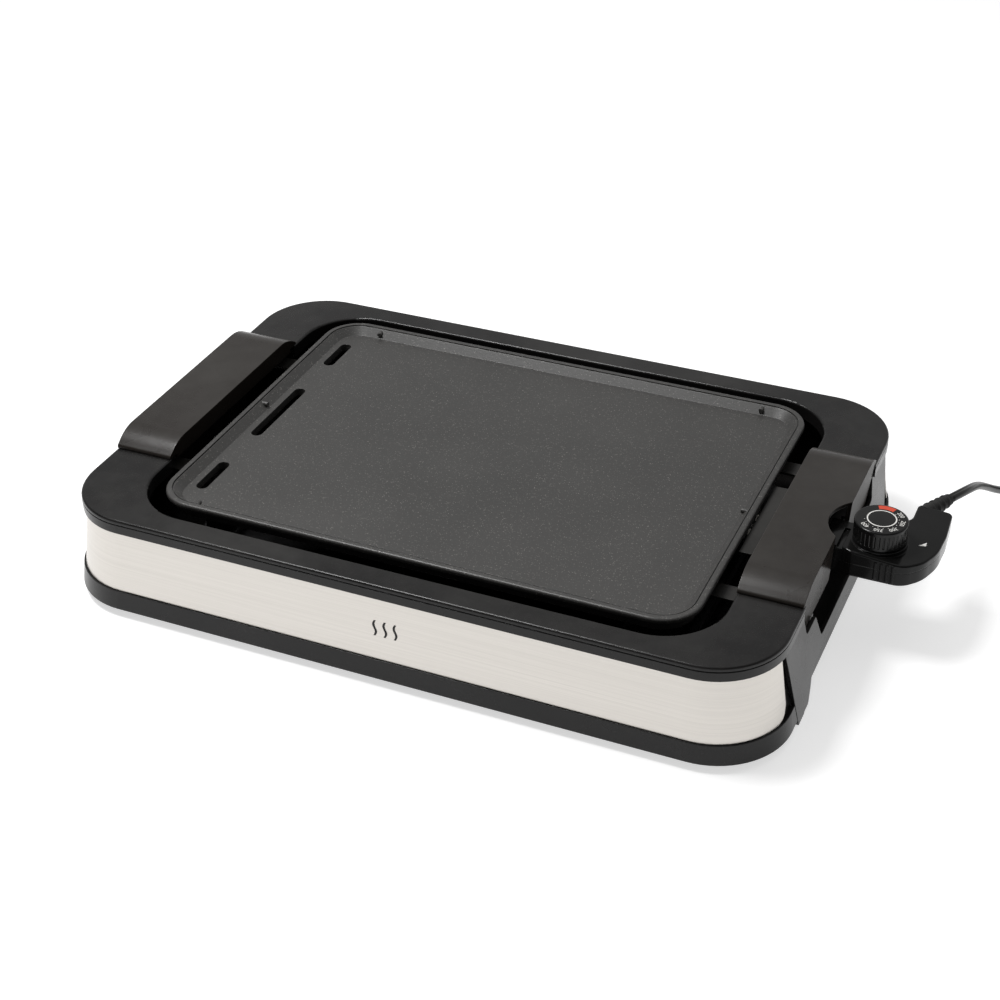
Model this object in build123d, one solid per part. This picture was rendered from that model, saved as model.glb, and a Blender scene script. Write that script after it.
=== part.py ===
"""Electric griddle: a low plastic and steel base, a lift-off cast plate with a handle cover at each
end, a drip tray under the plate, and a plug-in temperature controller with a dial and a power cord.

Units are millimetres and +Z is up. The work is drawn about the plate's centre (plate length along X)
and every node is moved by CENTRE_X at the end, so that the origin lies under the middle of the
object's box, on the surface that it stands on.
"""
from build123d import *
import math
import os

# ---------------------------------------------------------------- driving dimensions
WALL_W, WALL_D, WALL_R = 272.6, 184.0, 52.0  # half length, half depth, corner radius of the wall at WALL_Z
WALL_Z = 70.0          # height at which the wall's size is given
FLARE = 0.128          # how far the wall spreads per mm downwards
SKIRT_OUT = 1.3        # skirt and end panels stand proud of the steel band by this
STEEL_T = 0.8          # sheet thickness of the steel bands
SKIRT_Z = (6.7, 22.0)  # black skirt below the steel
TOP_Z = (72.5, 84.0)   # top frame's rim: lower edge and flat top
TOP_W, TOP_D, TOP_R = 274.7, 187.0, 54.0     # top frame outside, half sizes and corner radius
OPEN_W, OPEN_D, OPEN_R = 226.8, 166.3, 48.0  # opening in the top frame
PANEL_Z0 = 2.0         # underside of the end panels' feet, above the rubber pads
SILL_Z = 23.0          # underside of the end panels between their feet
BAND_END_Y = 141.0     # steel bands stop here on the end faces

RIM_W, RIM_D, RIM_R = 210.5, 153.2, 30.0     # plate rim outside
RIM_Z = 87.0           # top of the plate's rim
RIM_LIP = 3.6          # thickness of the rim's overhanging lip
COOK_Z = 80.6          # cooking surface
PLATE_T = 6.2          # thickness under the cooking surface
SLOT_X, SLOT_WIDTH = -188.3, 9.4             # drain slots at the left end
SLOTS = ((1.0, 79.0), (102.6, 39.0), (-101.4, 40.0))  # centre y and length

COVER_X = (226.6, 274.7)   # handle cover, inner and outer top edges
COVER_TOP = 95.2
COVER_END = 100.3          # half length of a handle cover
COVER_SKIRT_Z = 55.0       # lower edge of its outer wall
COVER_FLARE = -0.06        # its outer wall leans in going down
NOTCH_R, NOTCH_X = 31.0, 295.0               # round cut for the controller

AXIS_Z = 70.5              # height of the heater pins and of the probe
PIN_Y = 9.8                # half distance between the pins
DIAL_X, DIAL_Y = 300.3, 5.2
DIAL_R = 19.3
CTRL_Z = (60.5, 71.5)      # controller underside and the joint between its shells
CTRL_FRONT, ARM_END_Y = 19.0, 65.2   # front face and the arm's end, from the pins' middle
CTRL_TOP = (82.6, 78.4)    # top of the controller at its inner and outer end
CTRL_OUT_X = 342.9         # outermost face of the controller
CTRL_SCREWS = ((290.0, -12.5), (327.0, -3.0), (325.0, 44.0))

BADGE_X, BADGE_Z = -1.5, (41.0, 53.0)      # middle and heights of the mark on the front band
CORD_R = 3.5
COIL_C = (405.0, 263.0)    # centre of the put-away coil on the table
COIL_RADII = (33.5, 40.5)  # the two turns that lie side by side
TRAY_W, TRAY_D = 194.0, 128.0

BASE_HALF = WALL_W + (WALL_Z - PANEL_Z0) * FLARE + SKIRT_OUT   # feet of the end panels
CENTRE_X = -(CTRL_OUT_X - BASE_HALF) / 2                       # moves every node at the end

# cord from the strain relief to the coil: the corners of its route
CORD_ROUTE = [
    (333.4, 89.5, 72.4), (338.0, 99.5, 71.6), (341.8, 111.5, 69.0), (344.0, 124.0, 64.6),
    (345.4, 137.5, 58.5), (346.8, 152.0, 50.4), (349.0, 167.5, 40.6), (352.0, 183.5, 30.0),
    (355.8, 199.5, 19.8), (360.0, 215.0, 11.0), (364.3, 230.0, 5.2), (367.4, 244.0, 3.8),
]
RELIEF = ((321.6, 64.5, 72.8), (333.4, 89.5, 72.4))   # axis of the sleeve on the cord


# ---------------------------------------------------------------- helpers
def outline(points, radii=0.0):
    """Closed flat face through the points, with a radius at each corner."""
    radii = [radii] * len(points) if isinstance(radii, (int, float)) else radii
    return make_face(FilletPolyline(*points, radius=radii, close=True))


def along_x(points, x0, x1, radii=0.0):
    """Prism from x0 to x1 whose section is drawn in Y and Z."""
    return extrude(Plane.YZ.offset(x0) * outline(points, radii), x1 - x0)


def along_y(points, y0, y1, radii=0.0):
    """Prism from y0 to y1 whose section is drawn in X and Z."""
    return extrude(Plane.XZ.offset(-y0) * outline(points, radii), -(y1 - y0))


def along_z(points, z0, z1, radii=0.0):
    """Prism from z0 to z1 whose section is drawn in X and Y."""
    return extrude(Plane.XY.offset(z0) * outline(points, radii), z1 - z0)


def slab(w, d, r, z0, z1):
    """Rounded block of half sizes w and d."""
    return extrude(Pos(0, 0, z0) * RectangleRounded(2 * w, 2 * d, r), z1 - z0)


def block(x0, x1, y0, y1, z0, z1):
    return Pos((x0 + x1) / 2, (y0 + y1) / 2, (z0 + z1) / 2) * Box(x1 - x0, y1 - y0, z1 - z0)


def rod(r, p0, p1):
    """Cylinder of radius r from point p0 to point p1."""
    start, end = Vector(*p0), Vector(*p1)
    return extrude(Plane(origin=start, z_dir=end - start) * Circle(r), (end - start).length)


def flared(offset, z0, z1):
    """Solid with the griddle's flared wall, moved outwards by offset."""
    faces = []
    for z in (z0, z1):
        grow = (WALL_Z - z) * FLARE + offset
        faces.append(Pos(0, 0, z) * RectangleRounded(2 * (WALL_W + grow), 2 * (WALL_D + grow),
                                                     WALL_R + 0.6 * grow))
    return loft(faces, ruled=True)


def ends(half):
    """A feature at the right end and its mirror image at the left."""
    return half + mirror(half, Plane.YZ)


def four(make, x, y):
    """The same shape at the four places (+-x, +-y)."""
    return [make(sx * x, sy * y) for sx in (-1, 1) for sy in (-1, 1)]


def fuse(shapes):
    total = shapes[0]
    for shape in shapes[1:]:
        total = total + shape
    return total


def panel_edge_y(z, gap=0.0):
    """Half width of an end panel at height z: its edge leans outwards going up."""
    return 121.5 + (z - PANEL_Z0) * (139.0 - 121.5) / (72.5 - PANEL_Z0) + gap


# ---------------------------------------------------------------- base
FRAME_BOSSES = [(sx * 237.0, sy * 150.0) for sx in (-1, 1) for sy in (-1, 1)]
PLATE_POSTS = [(sx * 165.0, sy * 141.5) for sx in (-1, 1) for sy in (-1, 1)]
FOOT_Y = 113.0


def top_frame():
    """Black top frame: a hollow rim with a panel that drapes down over each end."""
    rim = slab(TOP_W, TOP_D, TOP_R, *TOP_Z) - slab(OPEN_W, OPEN_D, OPEN_R, TOP_Z[0] - 1, TOP_Z[1] + 1)
    upper = rim.edges().filter_by(lambda e: abs(e.center().Z - TOP_Z[1]) < 0.01)
    rim = fillet(upper, 1.9)
    hollow = slab(TOP_W - 2, TOP_D - 2, TOP_R - 2, TOP_Z[0] - 1, 81.0)
    hollow -= slab(OPEN_W + 2.4, OPEN_D + 2.4, OPEN_R + 2.4, TOP_Z[0] - 2, 82.0)
    rim -= hollow
    groove = slab(TOP_W + 1, TOP_D + 1, TOP_R + 1, 79.8, 80.7)
    rim -= groove - slab(TOP_W - 0.7, TOP_D - 0.7, TOP_R - 0.7, 79.0, 81.5)
    rim -= ends(block(221.0, 280.0, -98.0, 98.0, 60.0, 90.0))

    shell = flared(SKIRT_OUT, PANEL_Z0, 74.0) - flared(SKIRT_OUT - 2.8, PANEL_Z0 - 1, 75.0)
    profile = [(-panel_edge_y(76.0), 76.0), (-panel_edge_y(3.0), 3.0), (-119.0, -2.0), (-104.0, -2.0),
               (-96.0, 3.2), (-90.0, 10.0), (-85.0, 18.0), (-75.0, SILL_Z)]
    profile += [(-y, z) for y, z in reversed(profile)]
    panel = shell & along_x(profile, 236.0, 300.0, [0, 1, 1, 4, 8, 8, 6, 8, 8, 6, 8, 8, 4, 1, 1, 0])
    notch = [(-99.0, 90.0), (-91.3, 55.6), (-68.0, 55.6), (-57.0, 32.6), (57.0, 32.6), (68.0, 55.6),
             (91.3, 55.6), (99.0, 90.0)]
    panel -= along_x(notch, 230.0, 300.0, [0, 5, 2, 5, 5, 2, 5, 0])
    frame = rim + ends(panel)
    for x, y in FRAME_BOSSES:
        frame += rod(5.0, (x, y, 14.6), (x, y, 82.0)) - rod(2.0, (x, y, 14.0), (x, y, 34.0))
    return frame


def base_tub():
    """Black lower tub: floor, inner wall, and the skirt that shows below the steel."""
    outer = flared(-2.6, SKIRT_Z[0], 71.5)
    skirt = flared(SKIRT_OUT, *SKIRT_Z)
    lean = [(panel_edge_y(z, 1.2), z) for z in (SKIRT_Z[0] - 1, SKIRT_Z[1] + 1)]
    clear = [(-lean[1][0], lean[1][1]), (-lean[0][0], lean[0][1]), lean[0], lean[1]]
    skirt -= ends(along_x(clear, 236.0, 300.0))
    tub = outer + skirt - flared(-5.0, SKIRT_Z[0] + 2.5, 72.0)
    # the end walls are low between the handle ends, and set back for the fingers below them
    tub -= ends(block(240.0, 300.0, -100.5, 100.5, 54.0, 80.0))
    tub -= ends(block(262.0, 300.0, -62.0, 62.0, 25.0, 60.0))
    pocket = block(259.6, 276.0, -64.4, 64.4, 22.6, 54.0) - block(262.0, 290.0, -62.0, 62.0, 25.0, 60.0)
    tub += ends(pocket & flared(-2.6, SKIRT_Z[0], 71.5))
    for x, y in FRAME_BOSSES:
        tub += rod(7.0, (x, y, 8.0), (x, y, 14.4))
        tub -= rod(2.0, (x, y, 5.0), (x, y, 20.0))
    for x, y in PLATE_POSTS:
        tub += rod(5.5, (x, y, 8.0), (x, y, 72.9))
        tub -= rod(2.6, (x, y, 64.0), (x, y, 80.0))
    for x in (-150.0, -50.0, 50.0, 150.0):
        tub += block(x - 1.5, x + 1.5, -110.0, 110.0, 8.0, 11.4)
    return tub


def band(side):
    """Brushed steel band round the front (side -1) or the rear (side 1), with round lower corners."""
    sheet = flared(0.0, SKIRT_Z[1] + 0.2, 75.0) - flared(-STEEL_T, SKIRT_Z[1] - 1, 76.0)
    edge, low = BAND_END_Y, SKIRT_Z[1] + 0.2
    keep = along_x([(side * 260, 80), (side * 260, low - 40), (side * edge, low - 40),
                    (side * edge, 80)], -300, 300)
    sheet = sheet & keep
    corner = [(side * (edge - 1), low - 2), (side * (edge - 1), low + 11), (side * (edge + 0.01), low + 11),
              (side * (edge + 3.2), low + 3.2), (side * (edge + 11), low), (side * (edge + 11), low - 2)]
    return sheet - ends(along_x(corner, 236, 300, [0, 0, 0, 8, 0, 0]))


def front_badge():
    """Generic mark on the front band: three short upright waves."""
    mid = (BADGE_Z[0] + BADGE_Z[1]) / 2
    face_y = -(WALL_D + (WALL_Z - mid) * FLARE)
    tilt = math.degrees(math.atan(FLARE))
    waves = []
    for i in range(3):
        x = BADGE_X + 8.0 * (i - 1)
        side = [(x + 1.1 * math.sin(math.tau * k / 8), BADGE_Z[0] + (BADGE_Z[1] - BADGE_Z[0]) * k / 8)
                for k in range(9)]
        points = [(u - 0.8, z) for u, z in side] + [(u + 0.8, z) for u, z in reversed(side)]
        wave = extrude(Plane.XZ * make_face(Polyline(*points, close=True)), 0.3)
        waves.append(Pos(0, face_y, mid) * Rot(-tilt, 0, 0) * Pos(0, 0, -mid) * wave)
    return waves


def rubber_feet():
    def pad(x, y):
        return block(x - 1.2, x + 1.2, y - 7.0, y + 7.0, 0.0, PANEL_Z0)
    return four(pad, BASE_HALF - 1.4, FOOT_Y)


def rubber_rests():
    """Soft buttons on the tub's four posts, which carry the plate."""
    def button(x, y):
        return rod(5.0, (x, y, 72.9), (x, y, COOK_Z - PLATE_T - 0.3)) + rod(2.5, (x, y, 66.0), (x, y, 73.0))
    return [button(x, y) for x, y in PLATE_POSTS]


def base_screws():
    def screw(x, y):
        head = rod(3.6, (x, y, 4.4), (x, y, 6.6)) - rod(1.2, (x, y, 4.0), (x, y, 5.6))
        return head + rod(1.9, (x, y, 6.0), (x, y, 30.0))
    return [screw(x, y) for x, y in FRAME_BOSSES]


def drip_tray():
    """Shallow sheet tray under the plate, lifted out by its rolled rim once the plate is off."""
    low, high = 11.7, 38.0
    dish = slab(TRAY_W, TRAY_D, 34.0, low, high)
    dish = fillet(dish.edges().filter_by(lambda e: abs(e.center().Z - low) < 0.01), 6.0)
    inner = slab(TRAY_W - 1.2, TRAY_D - 1.2, 32.8, low + 1.2, high + 1)
    inner = fillet(inner.edges().filter_by(lambda e: abs(e.center().Z - low - 1.2) < 0.01), 4.8)
    rim = slab(TRAY_W + 5.0, TRAY_D + 5.0, 39.0, high - 1.2, high)
    return dish + rim - inner


# ---------------------------------------------------------------- plate
def griddle_plate():
    """Cast plate: raised round rim, sloped inner wall, flat cooking surface and three drain slots."""
    floor = COOK_Z - PLATE_T
    lip = slab(RIM_W, RIM_D, RIM_R, RIM_Z - RIM_LIP, RIM_Z)
    lip = fillet(lip.edges().filter_by(lambda e: abs(e.center().Z - RIM_Z) < 0.01), 1.9)
    body = lip + slab(RIM_W - 5.5, RIM_D - 5.5, RIM_R - 5.5, floor, RIM_Z - RIM_LIP + 0.2)
    dish = [Pos(0, 0, z) * RectangleRounded(2 * (RIM_W - t), 2 * (RIM_D - t), max(RIM_R - t, 6.0))
            for z, t in ((COOK_Z, 12.0), (RIM_Z + 0.7, 4.4))]
    body -= loft(dish, ruled=True)
    groove = slab(RIM_W - 4.6, RIM_D - 4.6, RIM_R - 4.6, RIM_Z - 1.4, RIM_Z + 1)
    body -= groove - slab(RIM_W - 5.6, RIM_D - 5.6, RIM_R - 5.6, RIM_Z - 3, RIM_Z + 2)
    for y, length in SLOTS:
        body -= Pos(SLOT_X, y, 60) * extrude(Rot(0, 0, 90) * SlotOverall(length, SLOT_WIDTH), 40)
    # cast bosses underneath: the heater's bed, the probe's sleeve and the handle brackets' pads
    body += block(176.0, 208.0, -22.0, 22.0, 64.0, floor + 0.2)
    body += rod(6.4, (118.0, 0, AXIS_Z - 1.0), (180.0, 0, AXIS_Z - 1.0))
    for sx in (-1, 1):
        for y in (-86.0, 86.0):
            body += rod(6.0, (sx * 200.0, y, floor - 1.4), (sx * 200.0, y, floor + 0.2))
            body -= rod(1.9, (sx * 200.0, y, floor - 3), (sx * 200.0, y, floor + 3.6))
    for sx, y in ((-1, 3.0), (1, -0.4)):
        body += rod(1.9, (sx * 198.8, y, 83.9), (sx * 206.0, y, 83.9))
    for x, y in ((170.8, 148.5), (-168.0, 148.5), (-175.3, -148.5)):
        body += rod(1.9, (x, y, 83.9), (x, math.copysign(141.5, y), 83.9))
    body -= rod(3.3, (124.0, 0, AXIS_Z), (215.0, 0, AXIS_Z))
    for sy in (-1, 1):
        body -= rod(2.6, (195.0, sy * PIN_Y, AXIS_Z), (209.0, sy * PIN_Y, AXIS_Z))
        body -= rod(4.62, (208.0, sy * PIN_Y, AXIS_Z), (216.0, sy * PIN_Y, AXIS_Z))
    return body - heating_element()


HEATER_ROUTE = [(196.0, PIN_Y), (150.0, PIN_Y), (150.0, 112.0), (-150.0, 112.0), (-150.0, -112.0),
                (150.0, -112.0), (150.0, -PIN_Y), (196.0, -PIN_Y)]


def heating_element():
    """Tubular heater bent to a loop, half let into the plate's underside, with straight cold ends."""
    path = FilletPolyline(*[(x, y, AXIS_Z) for x, y in HEATER_ROUTE], radius=26.0)
    return sweep(Plane(origin=path @ 0, z_dir=path % 0) * Circle(3.9), path=path)


def terminal_pins():
    return [rod(2.6, (196.0, sy * PIN_Y, AXIS_Z), (249.0, sy * PIN_Y, AXIS_Z)) for sy in (-1, 1)]


def pin_insulators():
    """Ceramic beads where the pins leave the heater."""
    return [rod(4.6, (208.0, sy * PIN_Y, AXIS_Z), (215.0, sy * PIN_Y, AXIS_Z))
            - rod(2.65, (207.0, sy * PIN_Y, AXIS_Z), (216.0, sy * PIN_Y, AXIS_Z)) for sy in (-1, 1)]


def inlet_guard():
    """Sheet-metal socket round the pins, with the flange that screws to the plate's end boss."""
    tube = along_x([(-20, 62.6), (20, 62.6), (20, 79.6), (-20, 79.6)], 211.2, 254.0, 4.0)
    tube -= along_x([(-18.8, 63.8), (18.8, 63.8), (18.8, 78.4), (-18.8, 78.4)], 212.4, 256.0, 2.8)
    back = block(208.2, 212.4, -17.0, 17.0, 64.2, 73.2) - block(209.4, 211.2, -19.0, 19.0, 60.0, 80.0)
    guard = tube + back
    guard += block(211.4, 223.6, -46.0, 46.0, 78.8, 80.0)
    guard -= rod(3.6, (205.0, 0, AXIS_Z), (214.0, 0, AXIS_Z))
    for sy in (-1, 1):
        guard -= rod(4.7, (205.0, sy * PIN_Y, AXIS_Z), (214.0, sy * PIN_Y, AXIS_Z))
    return guard


def cover_outer_x(z, inset=0.0):
    return COVER_X[1] + (COVER_TOP - z) * COVER_FLARE - inset


def handle_cover(notched):
    """Hollow handle cover: an arched top over the frame's end and an outer wall for the fingers."""
    end, top, low = COVER_END, COVER_TOP, TOP_Z[1] + 0.4
    arch = [(-end, low), (-end, low + 2.0), (-86.5, top), (86.5, top), (end, low + 2.0), (end, low)]
    body = along_x(arch, COVER_X[0], 290.0, [0, 3, 36, 36, 3, 0])
    inner_arch = [(-end + 3.4, 40.0), (-end + 3.4, low + 0.4), (-85.0, top - 2.8), (85.0, top - 2.8),
                  (end - 3.4, low + 0.4), (end - 3.4, 40.0)]
    wall = [(-97.2, low + 1.0), (-82.0, COVER_SKIRT_Z), (82.0, COVER_SKIRT_Z), (97.2, low + 1.0)]
    skirt = along_x(wall, 262.0, 290.0, [0, 4, 4, 0])
    body += skirt
    lip = block(COVER_X[0], COVER_X[0] + 2.4, -90.0, 90.0, 81.0, low + 1)
    body += lip
    outside = along_y([(cover_outer_x(40), 40), (cover_outer_x(100), 100), (320, 100), (320, 40)],
                      -120, 120)
    body -= outside
    hollow = along_x(inner_arch, COVER_X[0] + 2.4, 290.0, [0, 2, 33, 33, 2, 0])
    hollow -= along_y([(cover_outer_x(30, 2.8), 30), (cover_outer_x(100, 2.8), 100), (320, 100), (320, 30)],
                      -130, 130)
    body -= hollow
    for y in (-86.0, 86.0):
        boss = rod(5.0, (245.0, y, 75.4), (245.0, y, top - 3.4))
        body += boss - rod(1.9, (245.0, y, 74.0), (245.0, y, 86.0))
    if notched:
        body -= rod(NOTCH_R, (NOTCH_X, 0, 40), (NOTCH_X, 0, 110))
    return body if notched else mirror(body, Plane.YZ)


def handle_bracket(side):
    """Pressed steel straps that join a handle cover to the plate."""
    low = COOK_Z - PLATE_T - 1.6
    parts = []
    for y in (-86.0, 86.0):
        strap = block(193.5, 252.0, y - 8.0, y + 8.0, low - 1.8, low)
        strap += block(236.0, 252.0, y - 8.0, y + 8.0, low - 0.2, low + 2.3)
        strap -= rod(2.0, (200.0, y, 60), (200.0, y, 80)) + rod(2.0, (245.0, y, 60), (245.0, y, 80))
        parts.append(strap)
    return parts if side > 0 else [mirror(p, Plane.YZ) for p in parts]


def bracket_screws():
    low = COOK_Z - PLATE_T - 3.4
    screws = []
    for sx in (-1, 1):
        for y in (-86.0, 86.0):
            for x, tip in ((200.0, 77.6), (245.0, 84.0)):
                head = rod(3.4, (sx * x, y, low - 2.0), (sx * x, y, low - 0.02))
                screws.append(head + rod(1.85, (sx * x, y, low - 0.5), (sx * x, y, tip)))
    return screws


# ---------------------------------------------------------------- controller
def controller_solid(inset, z0, z1):
    """Neck, body round the dial, and the arm that carries the cord, drawn in by inset all round."""
    points = [(263.0, -17.0), (281.0, -17.0), (285.0, -CTRL_FRONT), (323.5, -CTRL_FRONT), (335.5, -6.5),
              (342.0, 12.0), (CTRL_OUT_X, 36.0), (341.0, ARM_END_Y), (315.5, ARM_END_Y), (315.5, 35.0),
              (287.0, 35.0), (278.5, 17.0), (263.0, 17.0)]
    plan = outline(points, [1.0, 3, 3, 16, 30, 50, 60, 4, 4, 14, 10, 5, 1.0])
    plan = offset(plan, amount=-inset) if inset else plan
    return extrude(Pos(0, 0, z0) * plan, z1 - z0)


def ctrl_top_z(x):
    """Height of the controller's sloping top."""
    return CTRL_TOP[0] + (CTRL_TOP[1] - CTRL_TOP[0]) * (x - 279.0) / (321.0 - 279.0)


def top_slope(drop=0.0):
    """Everything above the controller's sloping top."""
    z = [ctrl_top_z(x) - drop for x in (250.0, 350.0)]
    return along_y([(250.0, z[0]), (350.0, z[1]), (350.0, 110.0), (250.0, 110.0)], -40, 80)


def controller_upper():
    shell = controller_solid(0.0, CTRL_Z[1], 90.0) - top_slope()
    rims = shell.edges().filter_by(lambda e: e.center().Z > CTRL_Z[1] + 5 and abs(e.tangent_at(0.5).Z) < 0.3)
    shell = fillet(rims, 1.6)
    shell -= controller_solid(2.2, CTRL_Z[1] - 1, 90.0) - top_slope(2.2)
    shell -= block(274.5, 278.5, -20.0, 8.0, 81.0, 90.0)
    shell += rod(DIAL_R + 1.4, (DIAL_X, DIAL_Y, 77.6), (DIAL_X, DIAL_Y, 82.4))
    shell -= rod(DIAL_R - 1.0, (DIAL_X, DIAL_Y, 80.6), (DIAL_X, DIAL_Y, 84.0))
    shell -= rod(3.05, (DIAL_X, DIAL_Y, 60), (DIAL_X, DIAL_Y, 90))
    for i in range(4):
        x = 303.0 + 4.2 * i
        shell += block(x, x + 1.8, -CTRL_FRONT - 0.9, -CTRL_FRONT, CTRL_Z[1], 77.4)
    for x, y in CTRL_SCREWS:
        shell += rod(3.4, (x, y, CTRL_Z[1] + 0.1), (x, y, ctrl_top_z(x) - 1.2))
        shell -= rod(1.65, (x, y, 70.0), (x, y, 73.6))
    shell -= sleeve_bore()
    shell -= neck_bores()
    return shell


def controller_lower():
    shell = controller_solid(0.0, CTRL_Z[0], CTRL_Z[1])
    rims = shell.edges().filter_by(lambda e: abs(e.center().Z - CTRL_Z[0]) < 0.01)
    shell = fillet(rims, 1.8)
    shell -= controller_solid(2.2, CTRL_Z[0] + 2.2, CTRL_Z[1] + 1)
    for i in range(4):
        x = 303.0 + 4.2 * i
        shell += block(x, x + 1.8, -CTRL_FRONT - 0.9, -CTRL_FRONT, 63.0, CTRL_Z[1])
    for x, y in CTRL_SCREWS:
        shell += rod(3.4, (x, y, 62.0), (x, y, CTRL_Z[1]))
        shell -= rod(1.7, (x, y, 58.0), (x, y, 80.0)) + rod(2.9, (x, y, 59.0), (x, y, 62.2))
    shell -= sleeve_bore()
    shell -= neck_bores()
    return shell


def neck_bores():
    """Holes in the neck's inner face for the probe and the two contact tubes."""
    holes = rod(3.05, (255.0, 0, AXIS_Z), (267.0, 0, AXIS_Z))
    for sy in (-1, 1):
        holes += rod(4.65, (255.0, sy * PIN_Y, AXIS_Z), (267.0, sy * PIN_Y, AXIS_Z))
    return holes


def probe_rod():
    tip = Pos(128.0, 0, AXIS_Z) * Sphere(3.0)
    return rod(3.0, (128.0, 0, AXIS_Z), (272.0, 0, AXIS_Z)) + tip


def contact_tubes():
    """Spring contacts that slide over the heater's pins."""
    tubes = []
    for sy in (-1, 1):
        y = sy * PIN_Y
        tube = rod(4.6, (228.0, y, AXIS_Z), (272.0, y, AXIS_Z)) - rod(2.95, (227.0, y, AXIS_Z),
                                                                   (268.0, y, AXIS_Z))
        tubes.append(tube - block(226.0, 246.0, y - 0.5, y + 0.5, AXIS_Z, AXIS_Z + 6.0))
    return tubes


def terminal_block():
    """Insulating block inside the neck that holds the contacts and the probe's inner end."""
    body = block(266.0, 276.0, -14.6, 14.6, CTRL_Z[0] + 2.2, 79.0)
    body -= rod(3.02, (260.0, 0, AXIS_Z), (272.0, 0, AXIS_Z))
    for sy in (-1, 1):
        body -= rod(4.62, (260.0, sy * PIN_Y, AXIS_Z), (272.0, sy * PIN_Y, AXIS_Z))
    return body


def bimetal_blade():
    """Thermostat blade under the dial's cam, with its silver contact."""
    return block(276.0, 298.0, -3.0, 3.0, 67.0, 67.8) + rod(1.6, (296.0, 0, 66.0), (296.0, 0, 67.5))


def contact_leaf():
    """Fixed leaf under the blade, riveted to a post on the floor of the lower shell."""
    leaf = block(284.0, 308.0, -3.0, 3.0, 64.4, 65.2) + rod(1.6, (296.0, 0, 65.0), (296.0, 0, 65.9))
    return leaf + block(306.0, 308.0, -3.0, 3.0, CTRL_Z[0] + 2.2, 64.6)


def controller_screws():
    return [rod(2.8, (x, y, 60.2), (x, y, 62.1)) + rod(1.6, (x, y, 62.0), (x, y, 73.0))
            for x, y in CTRL_SCREWS]


def sleeve_bore():
    """Hole in the arm's end for the cord's sleeve."""
    start, end = Vector(*RELIEF[0]), Vector(*RELIEF[1])
    step = (end - start).normalized()
    return rod(5.5, tuple(start - step * 1.0), tuple(start + step * 9.0))


def strain_relief():
    """Tapered ribbed sleeve on the cord where it leaves the arm."""
    start, end = Vector(*RELIEF[0]), Vector(*RELIEF[1])
    step = end - start
    pieces = [rod(5.45, tuple(start), tuple(start + step * 0.3))]
    for i, r in enumerate((6.3, 5.9, 5.6, 5.3, 5.0)):
        a = 0.3 + 0.13 * i
        pieces.append(rod(r, tuple(start + step * a), tuple(start + step * (a + 0.08))))
    pieces.append(rod(4.4, tuple(start), tuple(end)))
    return fuse(pieces)


# ---------------------------------------------------------------- dial
def dial_knob():
    """Round knob with a ribbed side and a stepped foot."""
    z0, z1 = 83.0, 98.6
    knob = rod(DIAL_R, (DIAL_X, DIAL_Y, z0), (DIAL_X, DIAL_Y, z1))
    knob = fillet(knob.edges().filter_by(lambda e: abs(e.center().Z - z1) < 0.01), 1.5)
    knob += rod(DIAL_R - 1.8, (DIAL_X, DIAL_Y, 81.2), (DIAL_X, DIAL_Y, z0 + 0.1))
    for i in range(36):
        a = math.radians(10 * i)
        x, y = DIAL_X + (DIAL_R + 0.35) * math.cos(a), DIAL_Y + (DIAL_R + 0.35) * math.sin(a)
        knob -= rod(0.75, (x, y, z0 + 2.2), (x, y, z1 - 3.4))
    knob -= rod(11.0, (DIAL_X, DIAL_Y, z1 - 0.8), (DIAL_X, DIAL_Y, z1 + 1))
    knob -= rod(2.95, (DIAL_X, DIAL_Y, 80.0), (DIAL_X, DIAL_Y, 92.0))
    return knob


def dial_cap():
    return rod(10.9, (DIAL_X, DIAL_Y, 97.8), (DIAL_X, DIAL_Y, 98.9))


def dial_spindle():
    """Spindle under the knob with the cam that sets the thermostat."""
    return (rod(2.95, (DIAL_X, DIAL_Y, 70.0), (DIAL_X, DIAL_Y, 92.0))
            + rod(5.4, (DIAL_X, DIAL_Y, 69.4), (DIAL_X, DIAL_Y, 72.4)))


# ---------------------------------------------------------------- cord
def arc_radii(points, limit=1e9):
    """Largest tangent arcs: 0.45 of the shorter run over the tangent of half the turn."""
    radii = []
    for a, b, c in zip(points, points[1:], points[2:]):
        u, v = Vector(*b) - Vector(*a), Vector(*c) - Vector(*b)
        half = math.radians(u.get_angle(v)) / 2
        radii.append(min(0.45 * min(u.length, v.length) / math.tan(half), limit))
    return radii


def power_cord():
    radii = arc_radii(CORD_ROUTE)
    path = FilletPolyline(*CORD_ROUTE, radius=radii)
    tube = sweep(Plane(origin=path @ 0, z_dir=path % 0) * Circle(CORD_R), path=path)
    print("cord radii", [round(r, 1) for r in radii])
    print("cord volume ratio", round(tube.volume / (math.pi * CORD_R ** 2 * path.length), 4),
          "length", round(path.length, 1))
    return tube


def cord_coil():
    """Closed ring that the put-away turns of the cord fill: two side by side and part of one on top."""
    inner, outer = COIL_RADII[0] - CORD_R, COIL_RADII[1] + CORD_R
    ring = extrude(Pos(*COIL_C, 0.1) * Circle(outer), 13.6) - extrude(Pos(*COIL_C, 0) * Circle(inner), 20)
    return fillet(ring.edges(), 3.0)


def coil_tie():
    """Strap over the coil at its far side, with its two ends on the table."""
    x, y = COIL_C
    inner, outer = COIL_RADII[0] - CORD_R, COIL_RADII[1] + CORD_R
    strap = along_x([(y + inner - 1.6, 0.1), (y + inner - 1.6, 15.0), (y + outer + 1.3, 15.0),
                     (y + outer + 1.3, 0.1)], x - 5.0, x + 5.0, [0, 3.5, 3.5, 0])
    strap -= along_x([(y + inner - 0.7, 0.0), (y + inner - 0.7, 14.0), (y + outer + 0.5, 14.0),
                      (y + outer + 0.5, 0.0)], x - 6.0, x + 6.0, [0, 2.8, 2.8, 0])
    return strap


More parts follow.
